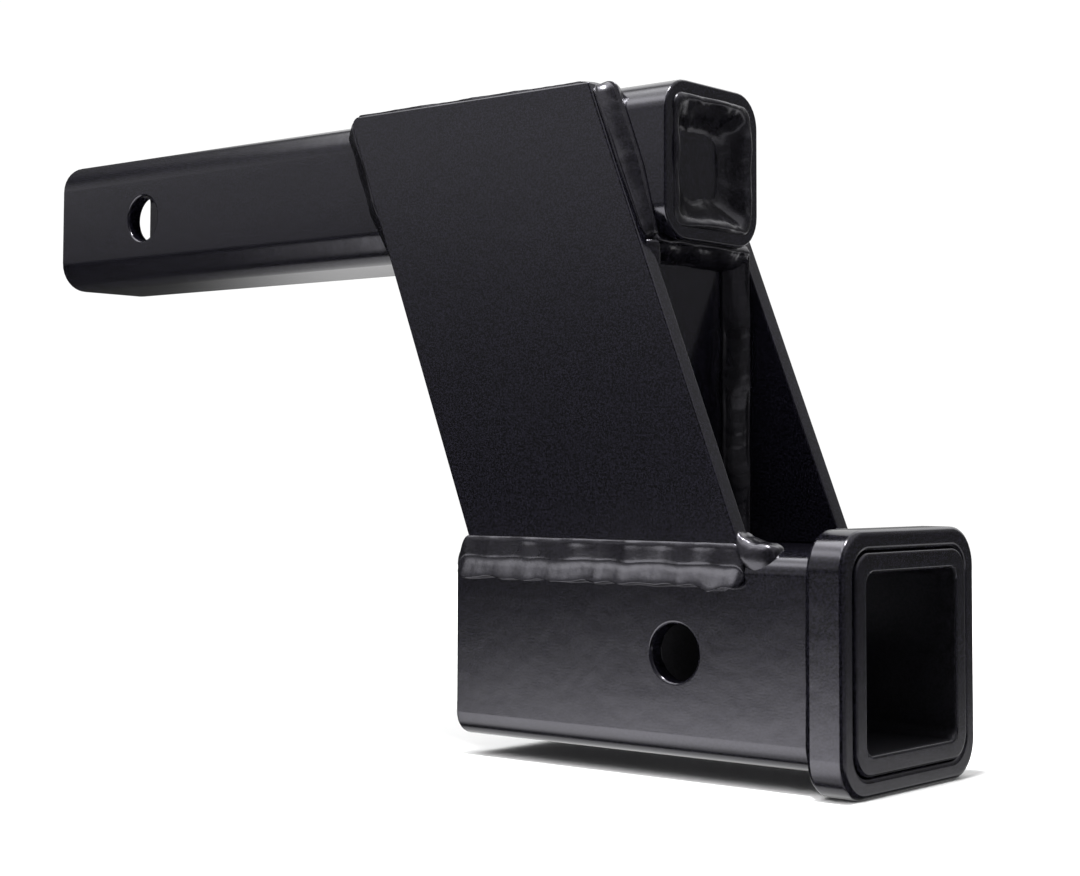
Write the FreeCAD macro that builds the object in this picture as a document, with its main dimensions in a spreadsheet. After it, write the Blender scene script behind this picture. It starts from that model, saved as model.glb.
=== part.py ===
"""Hitch receiver adapter: a welded drop adapter that carries a receiver socket, in millimetres.

The origin is the middle of the shank's pin hole. X runs towards the receiver's mouth, Y runs
along the pins and Z is up. The side towards -Y is called left.
"""
import FreeCAD, Part
import math
import os
import random

import Sketcher
from FreeCAD import Vector

# Driving dimensions: alias, value, meaning
DIMENSIONS = [
    ("shank_width", 50.8, "outside of the square shank tube"),
    ("shank_wall", 6.35, "wall of the shank tube"),
    ("shank_corner", 11.0, "outside corner radius of the shank tube"),
    ("shank_length", 304.8, "length of the shank tube"),
    ("shank_pin_setback", 50.8, "pin hole centre from the shank's rear end"),
    ("drop", 152.4, "shank axis to receiver axis"),
    ("shank_setback", 71.4, "shank's front end behind the receiver's mouth"),
    ("pin_diameter", 15.875, "hitch pin that both cross holes take"),
    ("pin_clearance", 1.5875, "pin hole diameter over the pin's"),
    ("tube_end_break", 0.7, "bevel that breaks the tubes' end edges"),
    ("plug_clearance", 0.2, "gap between the plug's edge and the shank's inside"),
    ("plug_thickness", 6.35, "plate that closes the shank"),
    ("plug_recess", 6.0, "plug's face behind the shank's front end"),
    ("receiver_width", 63.5, "outside of the square receiver tube"),
    ("receiver_corner", 7.6, "outside corner radius of the receiver tube"),
    ("receiver_inner_corner", 3.6, "inside corner radius of the receiver tube"),
    ("socket_clearance", 0.6, "receiver's inside over the shank that it takes"),
    ("receiver_length", 152.4, "length of the receiver tube"),
    ("receiver_pin_setback", 63.5, "pin hole centre behind the mouth"),
    ("collar_wall", 6.35, "wall of the collar"),
    ("collar_corner", 12.0, "outside corner radius of the collar"),
    ("collar_length", 12.7, "length of the collar along the tube"),
    ("collar_setback", 0.5, "collar's face behind the mouth"),
    ("collar_edge_break", 1.1, "bevel on the collar's outer edges"),
    ("plate_thickness", 6.35, "side plates"),
    ("plate_width", 109.3, "side plates, along X"),
    ("plate_lean", 57.8, "how far a plate's foot stands ahead of its top"),
    ("plate_foot_setback", 38.4, "front corner of a plate's foot behind the mouth"),
    ("plate_corner_round", 2.0, "side plates' corner radius"),
    ("plate_edge_break", 0.7, "bevel on the side plates' edges"),
    ("web_thickness", 6.35, "web plate"),
    ("web_setback", 81.4, "web's front face behind the mouth"),
    ("web_clearance", 0.25, "gap between the web's edge and each side plate"),
    ("ripple_pitch", 7.6, "weld ripple, crest to crest"),
    ("ripple_height", 0.45, "step of a weld ripple"),
    ("ripple_bow", 1.5, "how far a ripple's middle lags behind its ends"),
    ("bead_wander", 0.1, "share by which a bead's width comes and goes"),
    ("bead_sink", 0.5, "how far a bead's toes are sunk before it is trimmed"),
    ("edge_weld_leg", 7.0, "weld leg on the shank's side along a plate's edge"),
    ("edge_weld_crown", 1.3, "how far those welds bulge"),
    ("foot_weld_rise", 6.2, "foot weld's height up the plate"),
    ("foot_weld_fall", 6.6, "foot weld's reach down the receiver's corner"),
    ("foot_weld_lip", 2.4, "foot weld's bulge beyond the plate's face"),
    ("foot_weld_overrun", 3.6, "foot weld's length behind the plate's rear corner"),
    ("foot_weld_return", 7.5, "foot weld's legs where it crosses the plate's front"),
    ("top_weld_crown", 1.3, "top weld's height over the plate's top"),
    ("web_weld_leg", 7.0, "weld legs at the web"),
    ("web_weld_crown", 1.2, "how far the web's welds bulge"),
    ("plug_weld_reach", 9.0, "plug weld's width on the plug"),
    ("plug_weld_lap", 2.2, "plug weld's lap over the shank's end"),
    ("plug_weld_proud", 1.0, "plug weld's height over the shank's end"),
    ("collar_weld_leg", 4.5, "legs of the weld behind the collar"),
    ("collar_weld_crown", 0.8, "how far that weld bulges"),
]

doc = FreeCAD.newDocument("hitch_receiver_adapter")
sheet = doc.addObject("Spreadsheet::Sheet", "Sizes")
for row, (alias, value, meaning) in enumerate(DIMENSIONS, start=1):
    sheet.set(f"A{row}", alias)
    sheet.set(f"B{row}", str(value))
    sheet.set(f"C{row}", meaning)
    sheet.setAlias(f"B{row}", alias)
doc.recompute()


def size(alias):
    """Return a driving dimension from the sheet."""
    return float(sheet.get(alias))


# Sizes that follow from the driving dimensions, as formulas on the sheet
SHANK_FRONT = "(Sizes.shank_length - Sizes.shank_pin_setback)"
MOUTH = f"({SHANK_FRONT} + Sizes.shank_setback)"
SHANK_TOP = "(Sizes.shank_width / 2)"
RECEIVER_TOP = "(Sizes.receiver_width / 2 - Sizes.drop)"
PIN_HOLE = "(Sizes.pin_diameter + Sizes.pin_clearance)"
SHANK_INSIDE = "(Sizes.shank_width - 2 * Sizes.shank_wall)"
SHANK_INSIDE_CORNER = "(Sizes.shank_corner - Sizes.shank_wall)"
SOCKET = "(Sizes.shank_width + Sizes.socket_clearance)"
RECEIVER_CORNER_AXIS = "(Sizes.receiver_width / 2 - Sizes.receiver_corner)"
# A plate's inner face meets the receiver's rounded corner this far from the corner's axis
FOOT_OFFSET = f"max(0; {SHANK_TOP} - {RECEIVER_CORNER_AXIS})"
FOOT_LEVEL = (
    f"({RECEIVER_CORNER_AXIS} - Sizes.drop"
    f" + sqrt(max(0; Sizes.receiver_corner ^ 2 - {FOOT_OFFSET} ^ 2)))"
)


def formula(text):
    """Return the value of a formula on the sheet."""
    return float(sheet.evalExpression(text.replace("Sizes.", "")))


shank_front = formula(SHANK_FRONT)
mouth = formula(MOUTH)
shank_top = formula(SHANK_TOP)
receiver_top = formula(RECEIVER_TOP)
foot_level = formula(FOOT_LEVEL)


# Sketches and bodies

def origin_plane(body, role):
    """Return one of a body's own origin planes."""
    return next(item for item in body.Origin.OriginFeatures if item.Role == role)


def new_body(label):
    """Start a sub-part."""
    body = doc.addObject("PartDesign::Body", label)
    body.Label = label
    return body


def new_sketch(body, name, role):
    """Attach a sketch to one of the body's origin planes."""
    sketch = body.newObject("Sketcher::SketchObject", name)
    sketch.AttachmentSupport = (origin_plane(body, role), [""])
    sketch.MapMode = "FlatFace"
    return sketch


def drive(sketch, name, constraint, text):
    """Add a dimension to a sketch and bind it to the sheet."""
    index = sketch.addConstraint(constraint)
    sketch.renameConstraint(index, name)
    sketch.setExpression(f"Constraints.{name}", text)


def draw_rounded_square(sketch, width_text, corner_text):
    """Draw a square with round corners about the sketch's origin."""
    half = formula(width_text) / 2
    radius = formula(corner_text)
    inner = half - radius
    sides = 4
    for side in range(sides):
        turn = side * math.pi / 2
        along = Vector(math.cos(turn), math.sin(turn), 0)
        outward = Vector(math.sin(turn), -math.cos(turn), 0)
        start = outward * half - along * inner
        end = outward * half + along * inner
        sketch.addGeometry(Part.LineSegment(start, end), False)
        centre = (outward + along) * inner
        circle = Part.Circle(centre, Vector(0, 0, 1), radius)
        sketch.addGeometry(Part.ArcOfCircle(circle, turn - math.pi / 2, turn), False)
    for side in range(sides):
        line = 2 * side
        arc = line + 1
        next_line = (line + 2) % (2 * sides)
        sketch.addConstraint(Sketcher.Constraint("Tangent", line, 2, arc, 1))
        sketch.addConstraint(Sketcher.Constraint("Tangent", arc, 2, next_line, 1))
        sketch.addConstraint(Sketcher.Constraint("Vertical" if side % 2 else "Horizontal", line))
        if side:
            sketch.addConstraint(Sketcher.Constraint("Equal", 1, arc))
    sketch.addConstraint(Sketcher.Constraint("Symmetric", 0, 1, 4, 1, -1, 1))
    drive(sketch, "width", Sketcher.Constraint("DistanceX", 6, 1, 2, 1, 2 * half), width_text)
    drive(sketch, "height", Sketcher.Constraint("DistanceY", 0, 1, 4, 1, 2 * half), width_text)
    drive(sketch, "corner", Sketcher.Constraint("Radius", 1, radius), corner_text)


def pad(body, sketch, name, length_text):
    """Extrude a sketch along its normal."""
    feature = body.newObject("PartDesign::Pad", name)
    feature.Profile = sketch
    feature.setExpression("Length", length_text)
    return feature


def cut_through(body, sketch, name):
    """Cut a sketch right through the body, both ways."""
    feature = body.newObject("PartDesign::Pocket", name)
    feature.Profile = sketch
    feature.Type = "ThroughAll"
    feature.SideType = "Symmetric"
    return feature


def ease_edges(body, base, name, kind, bound, text, wanted):
    """Round or bevel the edges of a feature that the test picks."""
    doc.recompute()
    names = [f"Edge{i}" for i, edge in enumerate(base.Shape.Edges, start=1) if wanted(edge)]
    feature = body.newObject(f"PartDesign::{kind}", name)
    feature.Base = (base, names)
    feature.setExpression(bound, text)
    body.Tip = feature
    doc.recompute()
    return feature


def round_edges(body, base, name, radius_text, wanted):
    """Round the edges that the test picks."""
    return ease_edges(body, base, name, "Fillet", "Radius", radius_text, wanted)


def bevel_edges(body, base, name, size_text, wanted):
    """Bevel the edges that the test picks."""
    return ease_edges(body, base, name, "Chamfer", "Size", size_text, wanted)


def place(item, x_text="0", y_text="0", z_text="0"):
    """Bind a sub-part's place to the sheet."""
    for axis, text in (("x", x_text), ("y", y_text), ("z", z_text)):
        item.setExpression(f"Placement.Base.{axis}", text)


def square_tube(label, width_text, corner_text, inside_text, inside_corner_text, length_text):
    """Extrude a square section along X, bore it, and return the body, the pad and the bore."""
    body = new_body(label)
    outline = new_sketch(body, f"{label}_outline", "YZ_Plane")
    draw_rounded_square(outline, width_text, corner_text)
    block = pad(body, outline, f"{label}_block", length_text)
    inside = new_sketch(body, f"{label}_inside", "YZ_Plane")
    draw_rounded_square(inside, inside_text, inside_corner_text)
    bore = cut_through(body, inside, f"{label}_bore")
    body.Tip = bore
    return body, block, bore


def drill_pin_hole(body, label, x_text):
    """Drill the cross hole for the hitch pin, at a distance from the body's own origin."""
    sketch = new_sketch(body, f"{label}_pin_circle", "XZ_Plane")
    centre = Vector(formula(x_text), 0, 0)
    radius = formula(PIN_HOLE) / 2
    sketch.addGeometry(Part.Circle(centre, Vector(0, 0, 1), radius), False)
    sketch.addConstraint(Sketcher.Constraint("PointOnObject", 0, 3, -1))
    drive(sketch, "setback", Sketcher.Constraint("DistanceX", -1, 1, 0, 3, centre.x), x_text)
    drive(sketch, "diameter", Sketcher.Constraint("Diameter", 0, 2 * radius), PIN_HOLE)
    feature = cut_through(body, sketch, f"{label}_pin_hole")
    body.Tip = feature
    return feature


def lies_at_x(edge, x):
    """Tell whether an edge lies in a plane across the tube."""
    return all(abs(vertex.X - x) < 1e-4 for vertex in edge.Vertexes)


# Tubes, plug and collar

def make_shank():
    """Make the shank tube and return its body and its unbored block."""
    body, block, _ = square_tube("shank_tube", "Sizes.shank_width", "Sizes.shank_corner",
                                 SHANK_INSIDE, SHANK_INSIDE_CORNER, "Sizes.shank_length")
    hole = drill_pin_hole(body, "shank", "Sizes.shank_pin_setback")
    outside = size("shank_width") / 2

    def outer_end_edge(edge):
        """Pick the outline of either end."""
        at_end = lies_at_x(edge, 0) or lies_at_x(edge, size("shank_length"))
        return at_end and max(abs(edge.BoundBox.YMax), abs(edge.BoundBox.YMin),
                              abs(edge.BoundBox.ZMax), abs(edge.BoundBox.ZMin)) > outside - 0.01

    bevel_edges(body, hole, "shank_end_bevel", "Sizes.tube_end_break", outer_end_edge)
    place(body, "-Sizes.shank_pin_setback")
    return body, block


def make_plug():
    """Make the plate that closes the shank."""
    body = new_body("shank_plug")
    outline = new_sketch(body, "plug_outline", "YZ_Plane")
    draw_rounded_square(outline, f"{SHANK_INSIDE} - 2 * Sizes.plug_clearance",
                        f"{SHANK_INSIDE_CORNER} - Sizes.plug_clearance")
    body.Tip = pad(body, outline, "plug_plate", "Sizes.plug_thickness")
    place(body, f"{SHANK_FRONT} - Sizes.plug_recess - Sizes.plug_thickness")
    return body


def make_receiver():
    """Make the receiver tube and return its body and its unbored block."""
    body, block, _ = square_tube("receiver_tube", "Sizes.receiver_width",
                                 "Sizes.receiver_corner", SOCKET,
                                 "Sizes.receiver_inner_corner", "Sizes.receiver_length")
    hole = drill_pin_hole(body, "receiver",
                          "Sizes.receiver_length - Sizes.receiver_pin_setback")

    def mouth_edge(edge):
        """Pick both outlines of the mouth."""
        return lies_at_x(edge, size("receiver_length"))

    bevel_edges(body, hole, "receiver_mouth_bevel", "Sizes.tube_end_break", mouth_edge)
    place(body, f"{MOUTH} - Sizes.receiver_length", "0", "-Sizes.drop")
    return body, block


def make_collar():
    """Make the ring round the receiver's mouth."""
    outside = "(Sizes.receiver_width + 2 * Sizes.collar_wall)"
    body, _, bore = square_tube("receiver_collar", outside, "Sizes.collar_corner",
                                "Sizes.receiver_width", "Sizes.receiver_corner",
                                "Sizes.collar_length")
    half = formula(outside) / 2

    def outer_edge(edge):
        """Pick the outlines of both faces."""
        across = lies_at_x(edge, 0) or lies_at_x(edge, size("collar_length"))
        box = edge.BoundBox
        return across and max(box.YMax, -box.YMin, box.ZMax, -box.ZMin) > half - 0.01

    bevel_edges(body, bore, "collar_bevel", "Sizes.collar_edge_break", outer_edge)
    place(body, f"{MOUTH} - Sizes.collar_setback - Sizes.collar_length", "0", "-Sizes.drop")
    return body


# Plates

def make_side_plate(label, outer_y_text):
    """Make a slanted side plate whose outer or inner face lies at the given Y."""
    body = new_body(label)
    height_text = f"({SHANK_TOP} - {FOOT_LEVEL})"
    height = formula(height_text)
    width = size("plate_width")
    lean = size("plate_lean")
    sketch = new_sketch(body, f"{label}_outline", "XZ_Plane")
    foot_front = Vector(0, 0, 0)
    top_front = Vector(-lean, height, 0)
    top_rear = Vector(-lean - width, height, 0)
    foot_rear = Vector(-width, 0, 0)
    corners = [foot_front, top_front, top_rear, foot_rear]
    for index, corner in enumerate(corners):
        following = corners[(index + 1) % len(corners)]
        sketch.addGeometry(Part.LineSegment(corner, following), False)
    for line in range(len(corners)):
        following = (line + 1) % len(corners)
        sketch.addConstraint(Sketcher.Constraint("Coincident", line, 2, following, 1))
    sketch.addConstraint(Sketcher.Constraint("Coincident", 0, 1, -1, 1))
    sketch.addConstraint(Sketcher.Constraint("Horizontal", 1))
    sketch.addConstraint(Sketcher.Constraint("Horizontal", 3))
    sketch.addConstraint(Sketcher.Constraint("Parallel", 0, 2))
    drive(sketch, "width", Sketcher.Constraint("DistanceX", 3, 1, 3, 2, width),
          "Sizes.plate_width")
    drive(sketch, "lean", Sketcher.Constraint("DistanceX", 0, 2, 0, 1, lean),
          "Sizes.plate_lean")
    drive(sketch, "height", Sketcher.Constraint("DistanceY", 0, 1, 0, 2, height), height_text)
    plate = pad(body, sketch, f"{label}_blank", "Sizes.plate_thickness")
    corners_cut = round_edges(body, plate, f"{label}_corners", "Sizes.plate_corner_round",
                              lambda edge: abs(edge.tangentAt(edge.FirstParameter).y) > 0.9)
    bevel_edges(body, corners_cut, f"{label}_edges", "Sizes.plate_edge_break",
                lambda edge: edge.BoundBox.YLength < 1e-4)
    place(body, f"{MOUTH} - Sizes.plate_foot_setback", outer_y_text, FOOT_LEVEL)
    return body


def make_web():
    """Make the upright plate between the side plates."""
    web = doc.addObject("Part::Box", "web_plate")
    web.Label = "web_plate"
    web.setExpression("Length", "Sizes.web_thickness")
    web.setExpression("Width", "Sizes.shank_width - 2 * Sizes.web_clearance")
    web.setExpression("Height", f"-{SHANK_TOP} - {RECEIVER_TOP}")
    place(web, f"{MOUTH} - Sizes.web_setback - Sizes.web_thickness",
          f"Sizes.web_clearance - {SHANK_TOP}", RECEIVER_TOP)
    return web


# Weld metal. A bead is skinned over ripples along a joint, and then trimmed by what it joins.

# Points across a bead's face, less one
FACE_STEPS = 4
# A bead's width at its ends, as a share of its full width
TAPER = 0.62
# Share of a ripple that rises steeply
SHARP_SHARE = 0.3
# Corners this near to one plane, in mm, make one flat face
FLAT_WITHIN = 1e-6
# Ripples to a length of the receiver when it trims a bead
RIPPLES_A_LENGTH = 2
# The root of a foot weld turns round the plate's corner at this radius
FOOT_TURN = 1.0
# A groove's weld is sunk to this share of the shank's corner radius, at these angles
GROOVE_SHARE = 0.75
GROOVE_ANGLES = (65, 15)
# Foot weld's section: shares of the lip outwards, and of the rise or the fall upwards
FOOT_SECTION = [(0.35, 0.8), (0.45, 0.2), (1.0, -0.4), (0.9, -0.85)]
# Its section past the plate's corner: shares of the return leg
RETURN_SECTION = [(0.3, 0.88), (0.66, 0.62), (0.95, 0.2), (1.0, -0.35)]


def bulged(first_toe, last_toe, crown):
    """Return a bead's face from toe to toe as pairs of out and up, bulged by the crown."""
    start = Vector(*first_toe, 0)
    chord = Vector(*last_toe, 0) - start
    bulge = Vector(-chord.y, chord.x, 0).normalize()
    face = []
    for step in range(FACE_STEPS + 1):
        share = step / FACE_STEPS
        point = start + chord * share + bulge * (crown * 4 * share * (1 - share))
        face.append((point.x, point.y))
    return face


def fillet_outline(leg_out, leg_up, crown, depth):
    """Return a fillet weld's section, from toe to toe and back inside the steel."""
    inside = [(leg_out / 2, -depth), (-depth, -depth), (-depth, leg_up / 2)]
    return bulged((0, leg_up), (leg_out, 0), crown) + inside


def section(frame, outline, swell, bow):
    """Return the points of one cross-section of a bead on its joint."""
    root, out, up, along = frame
    last = len(outline) - 1
    points = []
    for index, (outwards, upwards) in enumerate(outline):
        across = 2 * index / last - 1
        lag = along * (-bow * swell * (1 - across ** 2))
        points.append(root + out * (outwards * swell) + up * (upwards * swell) + lag)
    return points


def flat_faces(corners):
    """Return four corners as one flat face, or as two where they lie in no plane."""
    first, second, third, fourth = corners
    normal = (second - first).cross(third - first).normalize()
    if abs((fourth - first).dot(normal)) < FLAT_WITHIN:
        loops = [corners]
    else:
        loops = [[first, second, third], [first, third, fourth]]
    return [Part.Face(Part.makePolygon(loop + loop[:1])) for loop in loops]


def skinned(sections, closed):
    """Return the solid whose skin joins each section to the next, and a ring's last to its first."""
    following = sections[1:]
    if closed:
        following = following + sections[:1]
        faces = []
    else:
        ends = (sections[0], sections[-1])
        faces = [Part.Face(Part.makePolygon(end + end[:1])) for end in ends]
    for section_points, next_points in zip(sections, following):
        for index, point in enumerate(section_points):
            side = (index + 1) % len(section_points)
            faces += flat_faces([point, section_points[side], next_points[side],
                                 next_points[index]])
    shell = Part.makeShell(faces)
    shell.sewShape()
    solid = Part.makeSolid(shell)
    if solid.Volume < 0:
        solid.reverse()
    return solid


def lay_bead(joint, outline_at, seed, tapered=True, closed=False):
    """Skin a rippled bead along a joint, each ripple a steep rise and a long fall."""
    frame_at, length = joint
    draw = random.Random(seed)
    count = max(3, round(length / size("ripple_pitch")))
    pitch = length / count
    wander = size("bead_wander")
    sections = []
    for ripple in range(count):
        width = 1 + wander * draw.uniform(-1, 1)
        for share, side in ((0, -0.5), (SHARP_SHARE, 0.5)):
            distance = (ripple + share) * pitch
            outline = outline_at(distance / length)
            leg = max(max(abs(outwards), abs(upwards)) for outwards, upwards in outline)
            swell = width + side * size("ripple_height") / leg
            bow = size("ripple_bow")
            inside = min(distance, length - distance) / pitch
            if inside < 1 and not closed:
                bow *= inside
                swell *= TAPER + (1 - TAPER) * inside if tapered else 1
            sections.append(section(frame_at(distance), outline, swell, bow))
    if not closed:
        sections.append(section(frame_at(length), outline_at(1), TAPER if tapered else 1, 0))
    return skinned(sections, closed)


def steady(outline):
    """Return an outline that stays the same along the joint."""
    return lambda share: outline


def blended(first, last, start, end):
    """Return an outline that changes from one to another between two shares of the joint."""
    def outline_at(share):
        """Give the outline at a share of the joint."""
        blend = min(1, max(0, (share - start) / (end - start)))
        return [(a * (1 - blend) + c * blend, b * (1 - blend) + d * blend)
                for (a, b), (c, d) in zip(first, last)]

    return outline_at


def straight(start, end, out, up):
    """Return the joint's frame along a straight line, and its length."""
    run = end - start
    along = Vector(run).normalize()

    def frame_at(distance):
        """Give root, out, up and along at a distance."""
        return start + along * distance, out, up, along

    return frame_at, run.Length


def round_corner(start, corner, end, reach, ups):
    """Return the joint's frame along two runs joined by an arc, its length and the arc's shares.

    The arc's length is counted at the reach outside it, and each run has its own up.
    """
    into = (corner - start).normalize()
    away = (end - corner).normalize()
    first = (corner - start).Length - FOOT_TURN
    last = (end - corner).Length - FOOT_TURN
    arc = math.pi / 2 * (FOOT_TURN + reach)
    whole = first + arc + last
    hub = corner - into * FOOT_TURN + away * FOOT_TURN

    def frame_at(distance):
        """Give root, out, up and along at a distance."""
        turned = min(1, max(0, (distance - first) / arc))
        angle = turned * math.pi / 2
        out = into * math.sin(angle) - away * math.cos(angle)
        along = into * math.cos(angle) + away * math.sin(angle)
        up = (ups[0] * (1 - turned) + ups[1] * turned).normalize()
        root = hub + out * FOOT_TURN
        if distance < first:
            root = start + into * distance
        if distance > first + arc:
            root = root + away * (distance - first - arc)
        return root, out, up, along

    return frame_at, whole, first / whole, (first + arc) / whole


def round_square(square, toe_square, x, z, forward):
    """Return the joint's frame round a square, and its length.

    Each square is a half width and a corner radius. Out points from the first square to the
    second, and up points along X by forward.
    """
    half, corner = square
    flat = 2 * (half - corner)
    stretch = flat + corner * math.pi / 2
    reach = abs(toe_square[0] - half)

    def point_on(path, share, angle, away, along):
        """Give the point of a square at a share of its flat, or at an angle of its corner."""
        half_width, radius = path
        hub = half_width - radius
        if angle is None:
            return away * half_width + along * (share * hub)
        return (away + along) * hub + (away * math.cos(angle) + along * math.sin(angle)) * radius

    def frame_at(distance):
        """Give root, out, up and along at a distance."""
        side = int(distance // stretch)
        rest = distance - side * stretch
        turn = side * math.pi / 2
        along = Vector(0, math.cos(turn), math.sin(turn))
        away = Vector(0, math.sin(turn), -math.cos(turn))
        share = 2 * rest / flat - 1
        angle = None if rest <= flat else (rest - flat) / corner
        root = point_on(square, share, angle, away, along)
        toe = point_on(toe_square, share, angle, away, along)
        heading = along
        if angle is not None:
            heading = along * math.cos(angle) - away * math.sin(angle)
        place = root + Vector(x, 0, z)
        return place, (toe - root) / reach, Vector(forward, 0, 0), heading

    return frame_at, 4 * stretch


def trim(label, blank, neighbours):
    """Cut a bead by what it lies on and keep it as a sub-part."""
    box = blank.BoundBox
    touching = [shape for shape in neighbours if box.intersect(shape.BoundBox)]
    solids = blank.cut(touching).Solids
    bead = doc.addObject("Part::Feature", label)
    bead.Label = label
    bead.Shape = max(solids, key=lambda solid: solid.Volume)
    bead.Placement = FreeCAD.Placement()
    return bead


def placed(body, shape):
    """Return a feature's shape where its body stands."""
    copy = shape.copy()
    copy.Placement = body.Placement.multiply(shape.Placement)
    return copy


def chopped(solid, pitch):
    """Return a long solid as short lengths along X, so that what it trims has short faces."""
    box = solid.BoundBox
    count = math.ceil(box.XLength / pitch)
    step = box.XLength / count
    slab = Part.makeBox(step, box.YLength, box.ZLength)
    lengths = []
    for index in range(count):
        slab.Placement.Base = Vector(box.XMin + index * step, box.YMin, box.ZMin)
        lengths.append(solid.common(slab))
    return lengths


def weld_shank_plug(neighbours):
    """Fill the step round the plug and lap the shank's end."""
    inside = formula(SHANK_INSIDE) / 2
    recess = size("plug_recess")
    reach = size("plug_weld_reach")
    lap = size("plug_weld_lap")
    sink = size("bead_sink")
    face = bulged((-lap, recess - sink), (reach, -sink), size("plug_weld_proud"))
    outline = face + [(0, -2 * sink), (-lap / 2, recess / 3)]
    opening = inside - reach
    joint = round_square((inside, formula(SHANK_INSIDE_CORNER)), (opening, opening / 3),
                         shank_front - recess, 0, 1)
    blank = lay_bead(joint, steady(outline), 11, closed=True)
    return trim("weld_shank_plug", blank, neighbours)


def weld_receiver_collar(neighbours):
    """Weld the collar's rear face to the tube all round."""
    half = size("receiver_width") / 2
    corner = size("receiver_corner")
    leg = size("collar_weld_leg")
    outline = fillet_outline(leg, leg, size("collar_weld_crown"), 2 * size("bead_sink"))
    joint = round_square((half, corner), (half + leg, corner + leg),
                         mouth - size("collar_setback") - size("collar_length"),
                         -size("drop"), -1)
    blank = lay_bead(joint, steady(outline), 21, closed=True)
    return trim("weld_receiver_collar", blank, neighbours)


def weld_top(name, sign, seed, neighbours):
    """Fill the groove between a side plate's top and the shank's rounded corner."""
    corner = size("shank_corner")
    width = size("plate_thickness")
    sink = size("bead_sink")
    face = bulged((-corner, -sink), (width - 2 * sink, -sink), size("top_weld_crown") + sink)
    groove = [(sink, -corner + 3 * sink)]
    for angle in reversed(GROOVE_ANGLES):
        turn = math.radians(angle)
        groove.append((corner * (GROOVE_SHARE * math.cos(turn) - 1),
                       corner * (GROOVE_SHARE * math.sin(turn) - 1)))
    inset = size("plate_corner_round") / 2
    start = Vector(top_rear_x + inset, sign * shank_top, shank_top)
    end = Vector(top_front_x - inset, sign * shank_top, shank_top)
    joint = straight(start, end, Vector(0, sign, 0), Vector(0, 0, 1))
    blank = lay_bead(joint, steady(face + groove), seed)
    return trim(f"weld_{name}_top", blank, neighbours)


def weld_edge(name, end_name, sign, seed, neighbours):
    """Weld a side plate's front or rear edge to the shank's side, top to bottom."""
    facing = 1 if end_name == "front" else -1
    top_x = top_front_x if end_name == "front" else top_rear_x
    outline = fillet_outline(size("edge_weld_leg"),
                             size("plate_thickness") - size("plate_edge_break") / 3,
                             size("edge_weld_crown"), size("shank_corner") / 2)
    start = Vector(top_x, sign * shank_top, shank_top)
    end = start + slant * (-size("shank_width") / slant.z)
    joint = straight(start, end, ahead * facing, Vector(0, sign, 0))
    blank = lay_bead(joint, steady(outline), seed)
    return trim(f"weld_{name}_{end_name}", blank, neighbours)


def weld_foot(name, sign, seed, neighbours):
    """Weld a side plate's foot along the receiver's corner and round the plate's front."""
    rise = size("foot_weld_rise")
    fall = size("foot_weld_fall")
    lip = size("foot_weld_lip")
    leg = size("foot_weld_return")
    sink = size("bead_sink")
    inset = size("plate_thickness") / 2

    def foot_outline(top, reach, shares):
        """Give the section whose face runs from the plate's toe to the receiver's."""
        face = [(inset + across * reach, upwards * (top if upwards > 0 else fall))
                for across, upwards in shares]
        toe = (inset - sink, -fall)
        return [(0, top / 3), (inset - sink, top), *face, toe, (0, -fall / 2)]

    side = shank_top + size("plate_thickness") - inset
    start = Vector(foot_rear_x - size("foot_weld_overrun"), sign * side, foot_level)
    corner = Vector(foot_front_x - inset, sign * side, foot_level)
    end = Vector(foot_front_x - inset, sign * (shank_top - lip), foot_level)
    frame_at, length, turn_start, turn_end = round_corner(start, corner, end, inset + lip,
                                                          (Vector(0, 0, 1), -slant))
    outline_at = blended(foot_outline(rise, lip, FOOT_SECTION),
                         foot_outline(leg, leg, RETURN_SECTION), turn_start, turn_end)
    blank = lay_bead((frame_at, length), outline_at, seed)
    return trim(f"weld_{name}_foot", blank, neighbours)


def weld_web(name, start, end, up, seed, neighbours):
    """Weld one edge of the web's front face."""
    leg = size("web_weld_leg")
    outline = fillet_outline(leg, leg, size("web_weld_crown"), leg / 2)
    joint = straight(start, end, Vector(1, 0, 0), up)
    blank = lay_bead(joint, steady(outline), seed, tapered=False)
    return trim(f"weld_web_{name}", blank, neighbours)


# Unit vectors of a side plate's edges: down the slant, and forward out of the front edge
slant = Vector(size("plate_lean"), 0, foot_level - shank_top).normalize()
ahead = Vector(-slant.z, 0, slant.x)
foot_front_x = mouth - size("plate_foot_setback")
foot_rear_x = foot_front_x - size("plate_width")
top_front_x = foot_front_x - size("plate_lean")
top_rear_x = top_front_x - size("plate_width")

# The steel

shank, shank_block = make_shank()
plug = make_plug()
receiver, receiver_block = make_receiver()
collar = make_collar()
left_plate = make_side_plate("left_side_plate", f"-{SHANK_TOP}")
right_plate = make_side_plate("right_side_plate", f"{SHANK_TOP} + Sizes.plate_thickness")
web = make_web()
doc.recompute()

# The welds, each trimmed by the steel that it joins and by the welds under it

shank_solid = placed(shank, shank_block.Shape)
receiver_solid = placed(receiver, receiver_block.Shape)
receiver_lengths = chopped(receiver_solid, RIPPLES_A_LENGTH * size("ripple_pitch"))

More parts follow.
